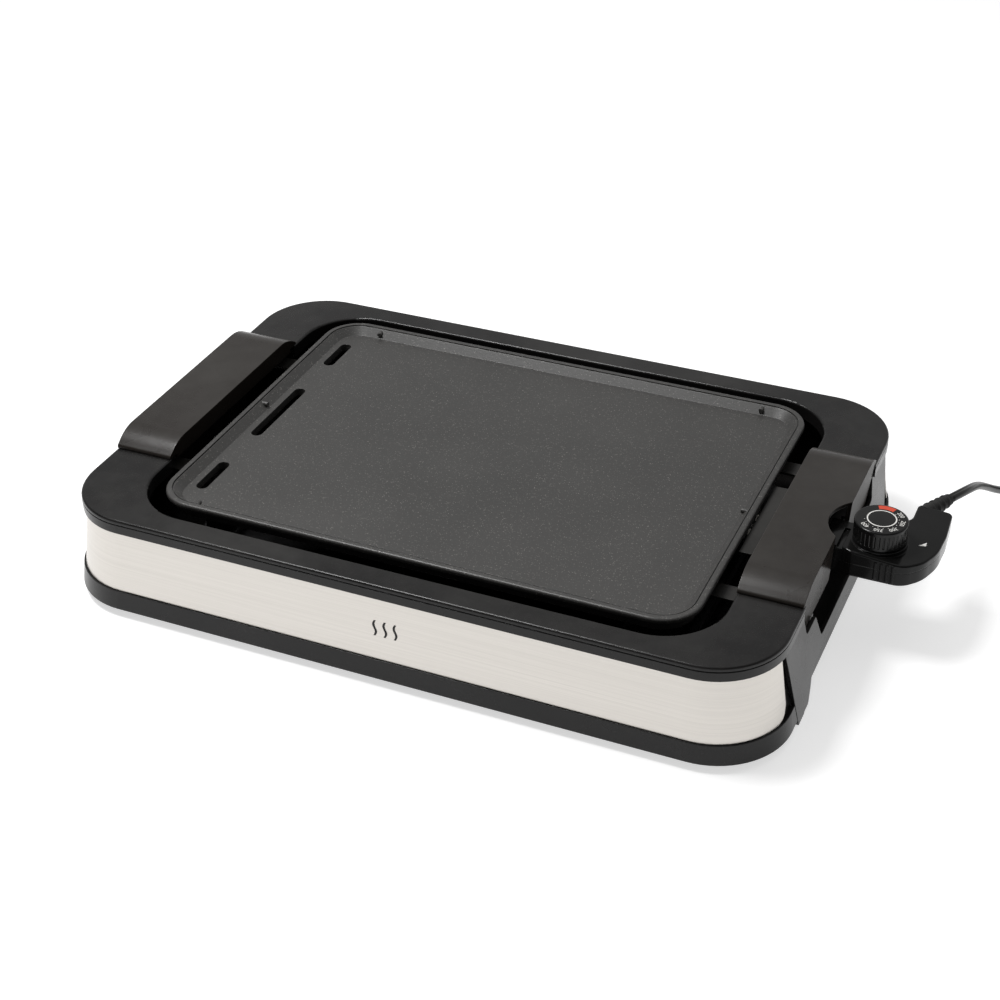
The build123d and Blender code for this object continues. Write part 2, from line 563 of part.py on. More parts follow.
PLUG_X, PLUG_Y = COIL_C[0] + 37.0, COIL_C[1] - 27.0


def plug_body():
    """Moulded plug lying beside the coil, its tail towards the turns."""
    points = [(PLUG_X - 13.0, PLUG_Y - 46.0), (PLUG_X + 13.0, PLUG_Y - 46.0), (PLUG_X + 13.0, PLUG_Y - 26.0),
              (PLUG_X + 6.0, PLUG_Y - 12.0), (PLUG_X + 4.6, PLUG_Y), (PLUG_X - 4.6, PLUG_Y),
              (PLUG_X - 6.0, PLUG_Y - 12.0), (PLUG_X - 13.0, PLUG_Y - 26.0)]
    body = along_z(points, 0.3, 16.3, [3, 3, 6, 6, 0, 0, 6, 6])
    upper = body.edges().filter_by(lambda e: abs(e.tangent_at(0.5).Z) < 0.1 and e.center().Y < PLUG_Y - 1)
    return fillet(upper, 2.0)


def plug_blades():
    return [block(PLUG_X + s * 6.35 - 0.75, PLUG_X + s * 6.35 + 0.75, PLUG_Y - 64.0, PLUG_Y - 42.0, 5.2, 11.4)
            for s in (-1, 1)]


# ---------------------------------------------------------------- write the nodes
NODES = {
    "top_frame": top_frame, "base_tub": base_tub, "front_band": lambda: band(-1),
    "rear_band": lambda: band(1), "front_badge": front_badge, "rubber_feet": rubber_feet,
    "rubber_rests": rubber_rests, "base_screws": base_screws, "drip_tray": drip_tray,
    "griddle_plate": griddle_plate, "heating_element": heating_element, "terminal_pins": terminal_pins,
    "pin_insulators": pin_insulators, "inlet_guard": inlet_guard,
    "handle_cover_right": lambda: handle_cover(True), "handle_cover_left": lambda: handle_cover(False),
    "handle_bracket_right": lambda: handle_bracket(1), "handle_bracket_left": lambda: handle_bracket(-1),
    "bracket_screws": bracket_screws, "controller_upper": controller_upper,
    "controller_lower": controller_lower, "controller_screws": controller_screws,
    "probe_rod": probe_rod, "contact_tubes": contact_tubes,
    "terminal_block": terminal_block, "bimetal_blade": bimetal_blade, "contact_leaf": contact_leaf,
    "strain_relief": strain_relief, "dial_knob": dial_knob, "dial_cap": dial_cap,
    "dial_spindle": dial_spindle, "power_cord": power_cord, "cord_coil": cord_coil, "coil_tie": coil_tie,
    "plug_body": plug_body, "plug_blades": plug_blades,
}


def write(name, shape):
    """Write one node: a single shape, or a list of separate solids that share the node."""
    if isinstance(shape, list):
        shape = fuse(shape)
    shape = Pos(CENTRE_X, 0, 0) * shape
    shape.label = name
    export_step(shape, f"parts/{name}.step")


if __name__ == "__main__":
    os.makedirs("parts", exist_ok=True)
    print("centre moved by", round(CENTRE_X, 3), "half length of the base", round(BASE_HALF, 3))
    for node, build in NODES.items():
        write(node, build())
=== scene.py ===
"""Looks of the electric griddle: camera, cord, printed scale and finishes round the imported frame.

Every length is in metres in the part's own frame: +Z up, the table at Z = 0, the plate's length along X.
PLATE_X is where the plate's centre lies on X, because the frame's origin is under the whole object.
"""
import math

import bpy
import numpy as np
from mathutils import Matrix, Vector


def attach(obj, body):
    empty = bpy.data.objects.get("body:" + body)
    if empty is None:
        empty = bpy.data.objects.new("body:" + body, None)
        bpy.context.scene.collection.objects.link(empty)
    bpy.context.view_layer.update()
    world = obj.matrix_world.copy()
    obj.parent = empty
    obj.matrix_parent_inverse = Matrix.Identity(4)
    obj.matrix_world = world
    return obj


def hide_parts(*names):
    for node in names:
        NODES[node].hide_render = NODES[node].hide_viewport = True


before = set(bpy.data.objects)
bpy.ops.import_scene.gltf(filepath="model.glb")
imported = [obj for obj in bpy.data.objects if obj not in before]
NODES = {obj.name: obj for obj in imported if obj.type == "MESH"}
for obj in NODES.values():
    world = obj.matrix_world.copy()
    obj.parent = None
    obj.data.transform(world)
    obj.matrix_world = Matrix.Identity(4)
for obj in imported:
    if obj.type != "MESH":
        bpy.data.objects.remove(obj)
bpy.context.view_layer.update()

PLATE_X = -0.030148
MM = 0.001


# ---------------------------------------------------------------- camera
CAMERA_PLACE = (PLATE_X + 0.49580, -1.10154, 0.83880)
CAMERA_AZIMUTH, CAMERA_ELEVATION, CAMERA_ROLL = 23.99, 33.38, -0.96   # degrees
CAMERA_LENS = 66.72


def make_camera():
    """Camera at the viewing angle: looks along azimuth and elevation, then rolls about its own axis."""
    azimuth, elevation = math.radians(CAMERA_AZIMUTH), math.radians(CAMERA_ELEVATION)
    roll = math.radians(CAMERA_ROLL)
    forward = Vector((-math.sin(azimuth) * math.cos(elevation), math.cos(azimuth) * math.cos(elevation),
                      -math.sin(elevation)))
    flat_right = Vector((math.cos(azimuth), math.sin(azimuth), 0.0))
    flat_up = flat_right.cross(forward)
    right = flat_right * math.cos(roll) + flat_up * math.sin(roll)
    up = flat_up * math.cos(roll) - flat_right * math.sin(roll)
    data = bpy.data.cameras.new("camera")
    data.lens, data.sensor_width = CAMERA_LENS, 36.0
    data.clip_start, data.clip_end = 0.05, 50.0
    camera = bpy.data.objects.new("camera", data)
    turn = Matrix((right, up, -forward)).transposed().to_4x4()
    camera.matrix_world = Matrix.Translation(CAMERA_PLACE) @ turn
    bpy.context.scene.collection.objects.link(camera)
    bpy.context.scene.camera = camera


make_camera()


# ---------------------------------------------------------------- mesh helpers
def mesh_object(name, points, faces, smooth=True, sharp_angle=None):
    """Mesh piece from an array of points and an array or list of faces."""
    mesh = bpy.data.meshes.new(name)
    mesh.from_pydata([tuple(p) for p in np.asarray(points, float).reshape(-1, 3).tolist()], [],
                     [tuple(int(i) for i in f) for f in faces])
    mesh.validate()
    piece = bpy.data.objects.new(name, mesh)
    bpy.context.scene.collection.objects.link(piece)
    if smooth:
        mesh.shade_smooth()
    if sharp_angle is not None:
        mesh.set_sharp_from_angle(angle=math.radians(sharp_angle))
    return piece


def grid_faces(rows, columns, close_rows=False, close_columns=False):
    """Quads of a grid of rows x columns points, wrapped round in either direction if it is closed."""
    i = np.arange(rows if close_rows else rows - 1)
    j = np.arange(columns if close_columns else columns - 1)
    i, j = (a.ravel() for a in np.meshgrid(i, j, indexing="ij"))
    i2, j2 = (i + 1) % rows, (j + 1) % columns
    return np.stack([i * columns + j, i * columns + j2, i2 * columns + j2, i2 * columns + j], 1)


def tube_along(name, line, section, sharp_angle=None):
    """Capped tube: section gives closed offsets (side, up), once or for each point of the line. Each point
    is line + side * s + up * u, where s is level and square to the line and u is square to both."""
    line = np.asarray(line, float)
    tangent = np.gradient(line, axis=0)
    tangent /= np.linalg.norm(tangent, axis=1)[:, None]
    side = np.cross(tangent, [0.0, 0.0, 1.0])
    side /= np.linalg.norm(side, axis=1)[:, None]
    up = np.cross(side, tangent)
    section = np.asarray(section, float)
    if section.ndim == 2:
        section = np.broadcast_to(section, (len(line),) + section.shape)
    points = line[:, None] + section[..., 0:1] * side[:, None] + section[..., 1:2] * up[:, None]
    count = section.shape[1]
    faces = [list(f)[::-1] for f in grid_faces(len(line), count, close_columns=True)]
    faces.append(list(range(count)))
    faces.append([(len(line) - 1) * count + k for k in range(count)][::-1])
    return mesh_object(name, points, faces, sharp_angle=sharp_angle)


# ---------------------------------------------------------------- cord
CORD_D = 0.007
CORD_ROUTE = [
    (333.4, 89.5, 72.4), (338.0, 99.5, 71.6), (341.8, 111.5, 69.0), (344.0, 124.0, 64.6),
    (345.4, 137.5, 58.5), (346.8, 152.0, 50.4), (349.0, 167.5, 40.6), (352.0, 183.5, 30.0),
    (355.8, 199.5, 19.8), (360.0, 215.0, 11.0), (364.3, 230.0, 5.2), (367.4, 244.0, 3.8),
]
COIL_CENTRE = (405.0, 263.0)      # on the table, measured from the plate's centre
COIL_INNER, COIL_OUTER = 33.5, 40.5
COIL_LOW, COIL_HIGH = 3.8, 10.8   # heights of the cord's line in the coil's two layers
COIL_TURNS = 3.5
TURN_POINTS = 16                  # spline points in each turn
COIL_TO_PLUG = [(445.2, 249.5, 9.8), (443.2, 241.5, 8.6), (442.0, 236.0, 8.3)]   # to the plug's tail


def eased(t, start, end, low, high):
    """Smooth step from low to high while t goes from start to end."""
    u = min(max((t - start) / (end - start), 0.0), 1.0)
    return low + (high - low) * u * u * (3 - 2 * u)


def coil_points():
    """Clockwise turns: one outside on the table, one inside it, then up, one inside and half outside."""
    points = []
    swell = 1 / math.cos(math.pi / TURN_POINTS)   # the spline runs inside its points by this much
    for k in range(int(COIL_TURNS * TURN_POINTS) + 1):
        t = k / TURN_POINTS
        inward = eased(t, 0.68, 0.9, 0.0, 1.0) - eased(t, 2.3, 2.52, 0.0, 1.0)
        radius = (COIL_OUTER + (COIL_INNER - COIL_OUTER) * inward) * swell
        height = eased(t, 1.5, 1.72, COIL_LOW, COIL_HIGH)
        angle = math.pi - math.tau * t
        points.append((COIL_CENTRE[0] + radius * math.cos(angle), COIL_CENTRE[1] + radius * math.sin(angle),
                       height))
    return points


def cord_line():
    """The cord's centre line: the route down to the table, the coil's turns, and the run to the plug."""
    points = CORD_ROUTE + coil_points() + COIL_TO_PLUG
    curve = bpy.data.curves.new("cord_line", "CURVE")
    curve.dimensions = "3D"
    curve.resolution_u = 6
    spline = curve.splines.new("NURBS")
    spline.points.add(len(points) - 1)
    for point, (x, y, z) in zip(spline.points, points):
        point.co = (x * MM + PLATE_X, y * MM, z * MM, 1.0)
    spline.order_u = 3
    spline.use_endpoint_u = True
    holder = bpy.data.objects.new("cord_line", curve)
    bpy.context.scene.collection.objects.link(holder)
    bpy.context.view_layer.update()
    line = bpy.data.meshes.new_from_object(holder)
    co = np.array([v.co for v in line.vertices], float)
    bpy.data.objects.remove(holder)
    bpy.data.meshes.remove(line)
    return co


def twin_section(width=CORD_D, height=0.0061, groove=0.0009, steps=28):
    """Section of a twin flex: an oval, width x height, with a narrow groove along its top and bottom."""
    angle = np.linspace(0, math.tau, steps, endpoint=False) + math.pi / steps
    side = width / 2 * np.cos(angle)
    up = height / 2 * np.sign(np.sin(angle)) * np.abs(np.sin(angle)) ** 0.8
    up *= 1 - groove * 2 / height * np.exp(-(side / 0.0006) ** 2)
    return np.stack([side, up], 1)


def make_cord():
    """Twin flex from the strain relief to the plug, the spare length wound up on the table."""
    line = cord_line()
    length = float(np.linalg.norm(np.diff(line, axis=0), axis=1).sum())
    cord = tube_along("power_cord_flex", line, twin_section())
    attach(cord, "controller")
    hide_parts("power_cord", "cord_coil")
    return cord, line, length


cord, cord_path, cord_length = make_cord()


# ---------------------------------------------------------------- strain relief
RELIEF_START, RELIEF_END = (321.6, 64.5, 72.8), (333.4, 89.5, 72.4)


def make_strain_relief():
    """Tapered sleeve: its radius falls along the cord and rises again over each of its round ribs."""
    start = np.array(RELIEF_START) * MM + [PLATE_X, 0, 0]
    end = np.array(RELIEF_END) * MM + [PLATE_X, 0, 0]
    t = np.linspace(-0.08, 1.0, 120)
    line = start + t[:, None] * (end - start)
    taper = 0.0058 - 0.0014 * np.clip(t, 0, 1)
    rib = np.clip(np.sin(math.tau * (t * 4.6 - 0.4)), 0, 1) ** 0.6 * (t > 0.1) * (t < 0.93)
    radius = taper + 0.0009 * rib * (1 - 0.3 * t)
    radius[t < 0.1] = 0.0059                                  # plain collar inside the arm
    radius[-4:] -= np.array([0.0, 0.0001, 0.0003, 0.0007])    # rounded end
    angle = np.linspace(0, math.tau, 40, endpoint=False)
    circle = np.stack([np.cos(angle), np.sin(angle)], 1)
    sleeve = tube_along("cord_sleeve", line, radius[:, None, None] * circle[None], sharp_angle=40)
    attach(sleeve, "controller")
    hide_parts("strain_relief")
    return sleeve


cord_sleeve = make_strain_relief()


# ---------------------------------------------------------------- shader groups
def new_group(name, inputs, outputs):
    """Empty shader node group with its input and output nodes. inputs is {name: default}."""
    tree = bpy.data.node_groups.new(name, "ShaderNodeTree")
    for label, default in inputs.items():
        kind = "NodeSocketColor" if isinstance(default, tuple) else "NodeSocketFloat"
        socket = tree.interface.new_socket(label, in_out="INPUT", socket_type=kind)
        socket.default_value = default
    for label, kind in outputs.items():
        tree.interface.new_socket(label, in_out="OUTPUT", socket_type="NodeSocket" + kind)
    return tree, tree.nodes.new("NodeGroupInput"), tree.nodes.new("NodeGroupOutput")


def node(tree, kind, values=None, links=None, **settings):
    """Shader node with its settings, fixed socket values and incoming links."""
    made = tree.nodes.new("ShaderNode" + kind)
    for key, value in settings.items():
        setattr(made, key, value)
    for key, value in (values or {}).items():
        made.inputs[key].default_value = value
    for key, source in (links or {}).items():
        tree.links.new(source, made.inputs[key])
    return made


def math_node(tree, operation, a, b=None, c=None, clamp=False):
    """Math node; a, b and c are sockets or numbers. Returns its output socket."""
    made = node(tree, "Math", operation=operation, use_clamp=clamp)
    for i, value in enumerate((a, b, c)):
        if value is None:
            continue
        if isinstance(value, (int, float)):
            made.inputs[i].default_value = value
        else:
            tree.links.new(value, made.inputs[i])
    return made.outputs[0]


def mix_colours(tree, factor, a, b, blend="MIX"):
    """Colour mix; factor, a and b are sockets or values. Returns its output socket."""
    made = node(tree, "Mix", data_type="RGBA", blend_type=blend, clamp_factor=True)
    for i, value in ((0, factor), (6, a), (7, b)):
        if isinstance(value, (int, float, tuple)):
            made.inputs[i].default_value = value
        else:
            tree.links.new(value, made.inputs[i])
    return made.outputs[2]


def edge_wear_group():
    """Worn edges: where a rounded normal differs from the true one, broken up by noise."""
    tree, ins, outs = new_group("edge_wear", {"Radius": 0.0008, "Scale": 120.0, "Amount": 0.5},
                                {"Mask": "Float", "Normal": "Vector"})
    bevel = node(tree, "Bevel", samples=6, links={"Radius": ins.outputs["Radius"]})
    true = node(tree, "NewGeometry")
    dot = node(tree, "VectorMath", operation="DOT_PRODUCT",
               links={0: bevel.outputs["Normal"], 1: true.outputs["Normal"]})
    edge = math_node(tree, "SUBTRACT", 1.0, dot.outputs["Value"])
    edge = math_node(tree, "MULTIPLY", edge, 7.0, clamp=True)
    place = node(tree, "TexCoord")
    noise = node(tree, "TexNoise", values={"Detail": 5.0, "Roughness": 0.65},
                 links={"Vector": place.outputs["Object"], "Scale": ins.outputs["Scale"]})
    breaks = node(tree, "MapRange", values={"From Min": 0.42, "From Max": 0.66},
                  links={"Value": noise.outputs["Fac"]})
    mask = math_node(tree, "MULTIPLY", edge, breaks.outputs[0])
    mask = math_node(tree, "MULTIPLY", mask, ins.outputs["Amount"], clamp=True)
    tree.links.new(mask, outs.inputs["Mask"])
    tree.links.new(bevel.outputs["Normal"], outs.inputs["Normal"])
    return tree


def grain_group():
    """Fine moulded or cast grain: noise over small cells, with a slow drift of gloss on top."""
    tree, ins, outs = new_group("fine_grain", {"Scale": 900.0, "Drift": 14.0},
                                {"Height": "Float", "Drift": "Float"})
    place = node(tree, "TexCoord")
    noise = node(tree, "TexNoise", values={"Detail": 3.0, "Roughness": 0.55},
                 links={"Vector": place.outputs["Object"], "Scale": ins.outputs["Scale"]})
    slow = node(tree, "TexNoise", values={"Detail": 4.0, "Roughness": 0.6},
                links={"Vector": place.outputs["Object"], "Scale": ins.outputs["Drift"]})
    drift = node(tree, "MapRange", values={"From Min": 0.3, "From Max": 0.7},
                 links={"Value": slow.outputs["Fac"]})
    tree.links.new(noise.outputs["Fac"], outs.inputs["Height"])
    tree.links.new(drift.outputs[0], outs.inputs["Drift"])
    return tree


def dust_group():
    """Light dust: settles on faces that look up, in soft patches and fine specks."""
    tree, ins, outs = new_group("settled_dust", {"Amount": 0.2}, {"Mask": "Float"})
    place = node(tree, "TexCoord")
    specks = node(tree, "TexNoise", values={"Scale": 1400.0, "Detail": 2.0},
                  links={"Vector": place.outputs["Object"]})
    specks = node(tree, "MapRange", values={"From Min": 0.62, "From Max": 0.74},
                  links={"Value": specks.outputs["Fac"]})
    patches = node(tree, "TexNoise", values={"Scale": 9.0, "Detail": 5.0, "Roughness": 0.7},
                   links={"Vector": place.outputs["Object"]})
    patches = node(tree, "MapRange", values={"From Min": 0.4, "From Max": 0.75},
                   links={"Value": patches.outputs["Fac"]})
    facing = node(tree, "SeparateXYZ", links={0: node(tree, "NewGeometry").outputs["Normal"]})
    up = math_node(tree, "MULTIPLY_ADD", facing.outputs["Z"], 0.8, 0.2, clamp=True)
    mask = math_node(tree, "MULTIPLY_ADD", specks.outputs[0], 0.6, patches.outputs[0], clamp=True)
    mask = math_node(tree, "MULTIPLY", mask, up)
    mask = math_node(tree, "MULTIPLY", mask, ins.outputs["Amount"])
    tree.links.new(mask, outs.inputs["Mask"])
    return tree


EDGE_WEAR, FINE_GRAIN, SETTLED_DUST = edge_wear_group(), grain_group(), dust_group()
DUST_GREY = (0.16, 0.155, 0.145, 1.0)


def start_material(name, colour, roughness, **constants):
    """Material with a Principled shader whose plain values are set on its own sockets."""
    made = bpy.data.materials.new(name)
    made.use_nodes = True
    shader = made.node_tree.nodes["Principled BSDF"]
    shader.inputs["Base Color"].default_value = (*colour, 1.0)
    shader.inputs["Roughness"].default_value = roughness
    for label, value in constants.items():
        shader.inputs[label.replace("_", " ")].default_value = value
    return made, made.node_tree, shader


def use_group(tree, group, values=None, links=None):
    """Node that uses a shared group, with its fixed values and incoming links."""
    made = tree.nodes.new("ShaderNodeGroup")
    made.node_tree = group
    for key, value in (values or {}).items():
        made.inputs[key].default_value = value
    for key, source in (links or {}).items():
        tree.links.new(source, made.inputs[key])
    return made


def moulded(name, colour, roughness, worn, grain=900.0, depth=0.00004, edge=0.0005, wear=0.35, dust=0.12,
            spread=0.08, specular=0.28, **constants):
    """Moulded plastic, rubber or coated metal: fine grain, drifting gloss, worn edges and a little dust."""
    made, tree, shader = start_material(name, colour, roughness, **constants)
    shader.inputs["Specular IOR Level"].default_value = specular
    edges = use_group(tree, EDGE_WEAR, {"Radius": edge, "Amount": wear})
    grains = use_group(tree, FINE_GRAIN, {"Scale": grain})
    settled = use_group(tree, SETTLED_DUST, {"Amount": dust})
    tone = mix_colours(tree, edges.outputs["Mask"], (*colour, 1.0), (*worn, 1.0))
    tone = mix_colours(tree, settled.outputs["Mask"], tone, DUST_GREY)
    tree.links.new(tone, shader.inputs["Base Color"])
    rough = math_node(tree, "MULTIPLY_ADD", grains.outputs["Drift"], spread, roughness - spread / 2)
    rough = math_node(tree, "MULTIPLY_ADD", settled.outputs["Mask"], 0.5, rough, clamp=True)
    tree.links.new(rough, shader.inputs["Roughness"])
    bump = node(tree, "Bump", values={"Strength": 0.6, "Distance": depth},
                links={"Height": grains.outputs["Height"], "Normal": edges.outputs["Normal"]})
    tree.links.new(bump.outputs["Normal"], shader.inputs["Normal"])
    return made


def matt_ends(made, low, high):
    """Lowers the shine from high to low on faces that look along X: the covers' outer walls are matt."""
    tree = made.node_tree
    facing = node(tree, "SeparateXYZ", links={0: node(tree, "NewGeometry").outputs["Normal"]})
    across = math_node(tree, "ABSOLUTE", facing.outputs["X"])
    level = node(tree, "MapRange", values={"From Min": 0.75, "From Max": 0.95, "To Min": high, "To Max": low},
                 links={"Value": across})
    tree.links.new(level.outputs[0], tree.nodes["Principled BSDF"].inputs["Specular IOR Level"])


def brushed_steel():
    """Sheet steel brushed along its length: long streaks, tight in height, in tone, gloss and bump."""
    made, tree, shader = start_material("brushed_steel_sheet", (0.61, 0.585, 0.545), 0.3, Metallic=1.0)
    place = node(tree, "TexCoord")
    stretch = node(tree, "Mapping", values={"Scale": (3.0, 3.0, 1500.0)},
                   links={"Vector": place.outputs["Object"]})
    fine = node(tree, "TexNoise", values={"Scale": 2.4, "Detail": 6.0, "Roughness": 0.7},
                links={"Vector": stretch.outputs[0]})
    broad = node(tree, "TexNoise", values={"Scale": 0.5, "Detail": 3.0},
                 links={"Vector": stretch.outputs[0]})
    streaks = math_node(tree, "MULTIPLY_ADD", broad.outputs["Fac"], 0.4, fine.outputs["Fac"])
    tone = node(tree, "MapRange", values={"From Min": 0.45, "From Max": 0.95}, links={"Value": streaks})
    colour = mix_colours(tree, tone.outputs[0], (0.55, 0.525, 0.49, 1.0), (0.67, 0.64, 0.60, 1.0))
    tree.links.new(colour, shader.inputs["Base Color"])
    rough = math_node(tree, "MULTIPLY_ADD", tone.outputs[0], 0.08, 0.28)
    tree.links.new(rough, shader.inputs["Roughness"])
    edges = use_group(tree, EDGE_WEAR, {"Radius": 0.0003, "Amount": 0.0})
    bump = node(tree, "Bump", values={"Strength": 0.35, "Distance": 0.00003},
                links={"Height": streaks, "Normal": edges.outputs["Normal"]})
    tree.links.new(bump.outputs["Normal"], shader.inputs["Normal"])
    return made


def coated_plate():
    """Non-stick coating on cast metal: grey-brown, with pale specks in a fine orange-peel skin."""
    made, tree, shader = start_material("plate_coating", (0.045, 0.043, 0.041), 0.42)
    place = node(tree, "TexCoord")
    cells = node(tree, "TexVoronoi", values={"Scale": 900.0}, links={"Vector": place.outputs["Object"]})
    pale = node(tree, "MapRange", values={"From Min": 0.34, "From Max": 0.16},
                links={"Value": cells.outputs["Distance"]})
    noise = node(tree, "TexNoise", values={"Scale": 420.0, "Detail": 4.0, "Roughness": 0.7},
                 links={"Vector": place.outputs["Object"]})
    sparse = node(tree, "MapRange", values={"From Min": 0.5, "From Max": 0.62},
                  links={"Value": noise.outputs["Fac"]})
    specks = math_node(tree, "MULTIPLY", pale.outputs[0], sparse.outputs[0])
    grains = use_group(tree, FINE_GRAIN, {"Scale": 650.0, "Drift": 8.0})
    edges = use_group(tree, EDGE_WEAR, {"Radius": 0.0006, "Amount": 0.35, "Scale": 160.0})
    ground = mix_colours(tree, grains.outputs["Drift"], (0.036, 0.035, 0.0335, 1.0),
                         (0.046, 0.0445, 0.0425, 1.0))
    ground = mix_colours(tree, specks, ground, (0.26, 0.25, 0.23, 1.0))
    ground = mix_colours(tree, edges.outputs["Mask"], ground, (0.12, 0.115, 0.11, 1.0))
    tree.links.new(ground, shader.inputs["Base Color"])
    rough = math_node(tree, "MULTIPLY_ADD", grains.outputs["Drift"], 0.08, 0.38)
    rough = math_node(tree, "MULTIPLY_ADD", specks, -0.12, rough, clamp=True)
    tree.links.new(rough, shader.inputs["Roughness"])
    bump = node(tree, "Bump", values={"Strength": 0.5, "Distance": 0.00012},
                links={"Height": grains.outputs["Height"], "Normal": edges.outputs["Normal"]})
    tree.links.new(bump.outputs["Normal"], shader.inputs["Normal"])
    return made


def bare_metal(name, colour, roughness, grain=500.0):
    """Bare metal part: drifting gloss, fine scratches and brighter edges."""
    made, tree, shader = start_material(name, colour, roughness, Metallic=1.0)
    edges = use_group(tree, EDGE_WEAR, {"Radius": 0.0003, "Amount": 0.6, "Scale": 300.0})
    grains = use_group(tree, FINE_GRAIN, {"Scale": grain, "Drift": 40.0})
    bright = tuple(min(1.0, c * 1.3) for c in colour)
    dull = tuple(c * 0.82 for c in colour)
    tone = mix_colours(tree, grains.outputs["Drift"], (*colour, 1.0), (*dull, 1.0))
    tone = mix_colours(tree, edges.outputs["Mask"], tone, (*bright, 1.0))
    tree.links.new(tone, shader.inputs["Base Color"])
    rough = math_node(tree, "MULTIPLY_ADD", grains.outputs["Drift"], 0.18, roughness - 0.05, clamp=True)
    tree.links.new(rough, shader.inputs["Roughness"])
    bump = node(tree, "Bump", values={"Strength": 0.3, "Distance": 0.00003},
                links={"Height": grains.outputs["Height"], "Normal": edges.outputs["Normal"]})
    tree.links.new(bump.outputs["Normal"], shader.inputs["Normal"])
    return made


# plastics, rubber and coatings
FRAME_BLACK = moulded("frame_black", (0.0075, 0.0070, 0.0070), 0.26, (0.05, 0.05, 0.05), grain=1500.0,
                      edge=0.0008)
COVER_BROWN = moulded("cover_plastic", (0.016, 0.013, 0.0108), 0.28, (0.08, 0.07, 0.065), grain=1300.0,
                      edge=0.0009)
matt_ends(COVER_BROWN, 0.04, 0.34)
CONTROL_BLACK = moulded("controller_plastic", (0.004, 0.004, 0.004), 0.12, (0.03, 0.03, 0.03), grain=1600.0,
                        depth=0.000008, spread=0.06, dust=0.03, edge=0.0009, specular=0.2)
DIAL_BLACK = moulded("dial_plastic", (0.006, 0.006, 0.006), 0.2, (0.05, 0.05, 0.05), depth=0.00001, dust=0.05)
RUBBER_BLACK = moulded("soft_rubber", (0.009, 0.009, 0.009), 0.62, (0.05, 0.05, 0.05), grain=700.0,
                       depth=0.00008)
CORD_BLACK = moulded("cord_sheath", (0.008, 0.008, 0.008), 0.32, (0.04, 0.04, 0.04), grain=1100.0,
                     edge=0.0001)
MARK_BLACK = moulded("mark_ink", (0.02, 0.02, 0.02), 0.5, (0.06, 0.06, 0.06), dust=0.0)
TRAY_BLACK = moulded("tray_enamel", (0.022, 0.022, 0.023), 0.3, (0.10, 0.10, 0.10), grain=300.0, depth=0.0001)
CERAMIC = moulded("white_ceramic", (0.72, 0.69, 0.62), 0.5, (0.8, 0.78, 0.72), dust=0.02)
PHENOLIC = moulded("brown_phenolic", (0.085, 0.045, 0.024), 0.4, (0.16, 0.10, 0.06))
PRINT_WHITE = moulded("print_white", (0.80, 0.79, 0.76), 0.5, (0.8, 0.8, 0.8), dust=0.05, edge=0.00005)
PRINT_RED = moulded("print_red", (0.62, 0.07, 0.035), 0.5, (0.62, 0.07, 0.035), dust=0.05, edge=0.00005)
# metals
STEEL = brushed_steel()
COATING = coated_plate()
SCREW_STEEL = bare_metal("screw_steel", (0.56, 0.56, 0.56), 0.32)
SHEET_DARK = moulded("sheet_metal", (0.014, 0.013, 0.012), 0.34, (0.20, 0.20, 0.19), grain=500.0, wear=0.5)
ELEMENT_METAL = bare_metal("element_sheath", (0.20, 0.19, 0.18), 0.45)
PROBE_METAL = bare_metal("probe_steel", (0.66, 0.64, 0.61), 0.2)
PIN_METAL = bare_metal("pin_nickel", (0.72, 0.70, 0.64), 0.18)
CONTACT_BRASS = bare_metal("contact_bronze", (0.70, 0.48, 0.24), 0.28)
BLADE_METAL = bare_metal("blade_strip", (0.58, 0.54, 0.48), 0.35)

FINISHES = {
    "top_frame": FRAME_BLACK, "base_tub": FRAME_BLACK, "front_band": STEEL, "rear_band": STEEL,
    "front_badge": MARK_BLACK, "rubber_feet": RUBBER_BLACK, "rubber_rests": RUBBER_BLACK,
    "base_screws": SCREW_STEEL, "drip_tray": TRAY_BLACK, "griddle_plate": COATING,
    "heating_element": ELEMENT_METAL, "terminal_pins": PIN_METAL, "pin_insulators": CERAMIC,
    "inlet_guard": SHEET_DARK, "handle_cover_right": COVER_BROWN, "handle_cover_left": COVER_BROWN,
    "handle_bracket_right": SHEET_DARK, "handle_bracket_left": SHEET_DARK, "bracket_screws": SCREW_STEEL,
    "controller_upper": CONTROL_BLACK, "controller_lower": CONTROL_BLACK, "controller_screws": SCREW_STEEL,
    "probe_rod": PROBE_METAL, "contact_tubes": CONTACT_BRASS, "terminal_block": PHENOLIC,
    "bimetal_blade": BLADE_METAL, "contact_leaf": CONTACT_BRASS, "strain_relief": RUBBER_BLACK,
    "dial_knob": DIAL_BLACK, "dial_cap": DIAL_BLACK, "dial_spindle": SCREW_STEEL, "power_cord": CORD_BLACK,
    "cord_coil": CORD_BLACK, "coil_tie": MARK_BLACK, "plug_body": CONTROL_BLACK, "plug_blades": PIN_METAL,
}


def finish_with(piece, material):
    piece.data.materials.clear()
    piece.data.materials.append(material)


for cad_name, cad_finish in FINISHES.items():
    finish_with(NODES[cad_name], cad_finish)
finish_with(cord, CORD_BLACK)
finish_with(cord_sleeve, RUBBER_BLACK)


# ---------------------------------------------------------------- printed scale on the dial
DIAL_CENTRE = (300.3 * MM + PLATE_X, 5.2 * MM)
DIAL_TOP, CAP_TOP = 98.6 * MM, 98.9 * MM
RING_RADII = (0.0098, 0.0107)                # white ring round the cap
HOT_RADII, HOT_ANGLES = (0.0126, 0.0172), (66, 112)
NUMBERS = ("200", "250", "300", "350", "400")
NUMBER_START, NUMBER_STEP, NUMBER_RADIUS, NUMBER_SIZE = 40, -42, 0.0148, 0.0046
TICKS, TICK_START, TICK_STEP, TICK_HALF = 13, 50, -17.5, 0.9    # how many, and degrees
TICK_RADII = (0.0118, 0.0126)


